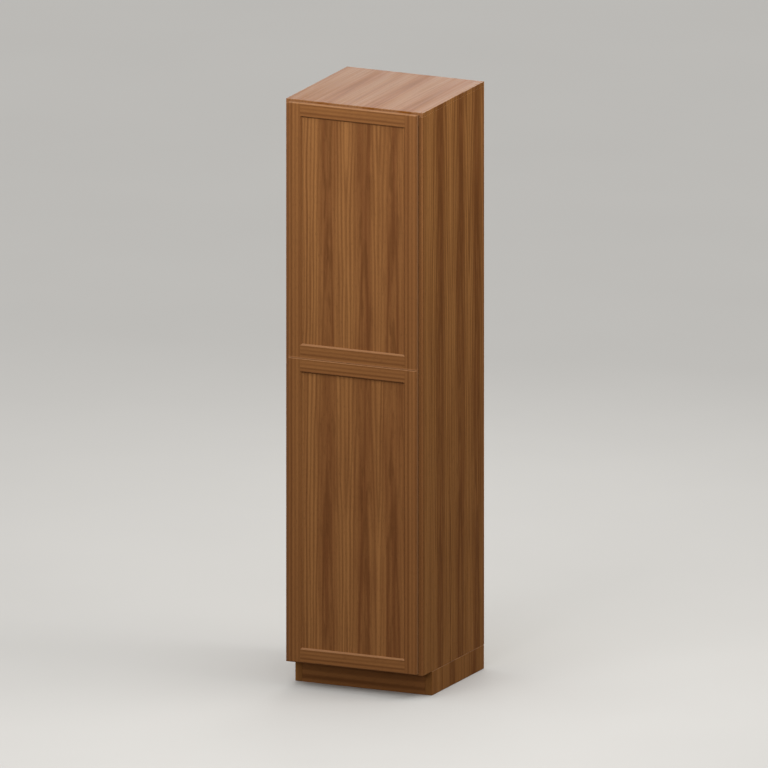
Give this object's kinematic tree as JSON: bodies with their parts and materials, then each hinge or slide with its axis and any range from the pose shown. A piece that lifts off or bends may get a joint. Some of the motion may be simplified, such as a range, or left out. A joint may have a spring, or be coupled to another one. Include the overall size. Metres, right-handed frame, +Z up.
{
  "type": "broom cupboard",
  "caption": "Tall wooden broom cupboard: face-framed box on a recessed plinth, with an upper and a lower framed door on concealed hinges and loose shelves above.",
  "frame": {"origin": "on the floor under the middle of the closed cupboard, doors included", "axes": "+Z up, the doors face -Y, +X to the right of someone facing the doors"},
  "size_m": [0.608, 0.614, 2.44],
  "materials": {
    "face_walnut": "satin lacquered brown wood",
    "inside_maple": "satin clear-coated pale plywood",
    "dowel_beech": "plain",
    "nickel_steel": "nickel plated",
    "bumper_rubber": "soft, clear grey"
  },
  "bodies": {
    "cabinet": {"back_panel": "inside_maple", "bottom_hanging_rail": "inside_maple", "deck_panel": "inside_maple", "frame_bottom_rail": "face_walnut", "frame_dowels": "dowel_beech", "frame_left_stile": "face_walnut", "frame_middle_rail": "face_walnut", "frame_right_stile": "face_walnut", "frame_top_rail": "face_walnut", "left_side_panel": "face_walnut", "lower_hinge_arms": "nickel_steel", "lower_hinge_plate_screws": "nickel_steel", "lower_hinge_plates": "nickel_steel", "lower_loose_shelf": "inside_maple", "middle_hanging_rail": "inside_maple", "middle_shelf": "inside_maple", "plinth_back_rail": "inside_maple", "plinth_left_side": "face_walnut", "plinth_right_side": "face_walnut", "plinth_stretcher": "inside_maple", "right_side_panel": "face_walnut", "shelf_pins": "nickel_steel", "toe_kick_board": "face_walnut", "top_hanging_rail": "inside_maple", "top_panel": "face_walnut", "upper_hinge_arms": "nickel_steel", "upper_hinge_plate_screws": "nickel_steel", "upper_hinge_plates": "nickel_steel", "upper_loose_shelf": "inside_maple"},
    "upper_door": {"upper_door_bottom_rail": "face_walnut", "upper_door_bumpers": "bumper_rubber", "upper_door_free_stile": "face_walnut", "upper_door_hinge_stile": "face_walnut", "upper_door_panel": "face_walnut", "upper_door_top_rail": "face_walnut", "upper_hinge_cup_screws": "nickel_steel", "upper_hinge_cups": "nickel_steel", "upper_hinge_pins": "nickel_steel"},
    "lower_door": {"lower_door_bottom_rail": "face_walnut", "lower_door_bumpers": "bumper_rubber", "lower_door_free_stile": "face_walnut", "lower_door_hinge_stile": "face_walnut", "lower_door_panel": "face_walnut", "lower_door_top_rail": "face_walnut", "lower_hinge_cup_screws": "nickel_steel", "lower_hinge_cups": "nickel_steel", "lower_hinge_pins": "nickel_steel"}
  },
  "joints": [
    {"name": "upper_door_hinge", "type": "hinge", "parent": "cabinet", "child": "upper_door", "pos_m": [-0.2781, -0.2955, 1.902], "axis": [0, 0, -1], "range_deg": [0, 105]},
    {"name": "lower_door_hinge", "type": "hinge", "parent": "cabinet", "child": "lower_door", "pos_m": [-0.2781, -0.2955, 0.74], "axis": [0, 0, -1], "range_deg": [0, 105]}
  ]
}
